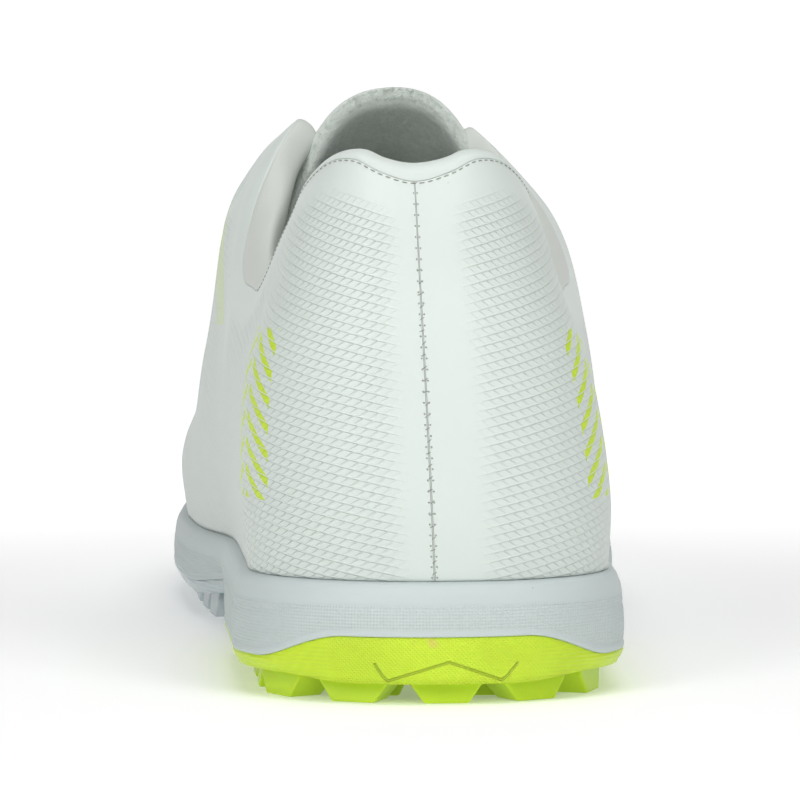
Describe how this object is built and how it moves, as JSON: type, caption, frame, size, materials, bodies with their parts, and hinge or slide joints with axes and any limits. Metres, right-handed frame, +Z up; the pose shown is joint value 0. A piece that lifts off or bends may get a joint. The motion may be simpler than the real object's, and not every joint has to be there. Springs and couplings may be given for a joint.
{
  "type": "turf shoe",
  "caption": "Low right-foot turf shoe: hollow upper, padded collar, arched tongue, crossed lace, foam midsole and rubber sole with lugs.",
  "frame": {"origin": "on the floor, under the middle of the shoe's bounding box", "axes": "+Y to the toe, +X to the outer side of the foot, +Z up"},
  "size_m": [0.0888, 0.2834, 0.1045],
  "materials": {
    "outsole_rubber": "moulded bright yellow-green rubber, satin",
    "midsole_foam": "pale grey foam with a fine dotted skin",
    "insole_cloth": "knitted cloth over foam",
    "upper_synthetic": "off-white embossed synthetic leather, satin",
    "collar_lining": "smooth padded lining, matt",
    "eyestay_synthetic": "smooth synthetic leather",
    "tongue_lining": "brushed grey-green textile",
    "lace_cord": "flat woven lace"
  },
  "bodies": {
    "root": {"outsole": "outsole_rubber", "midsole": "midsole_foam", "insole": "insole_cloth", "upper": "upper_synthetic", "collar": "collar_lining", "eyestay": "eyestay_synthetic", "tongue": "tongue_lining", "laces": "lace_cord"}
  },
  "joints": []
}
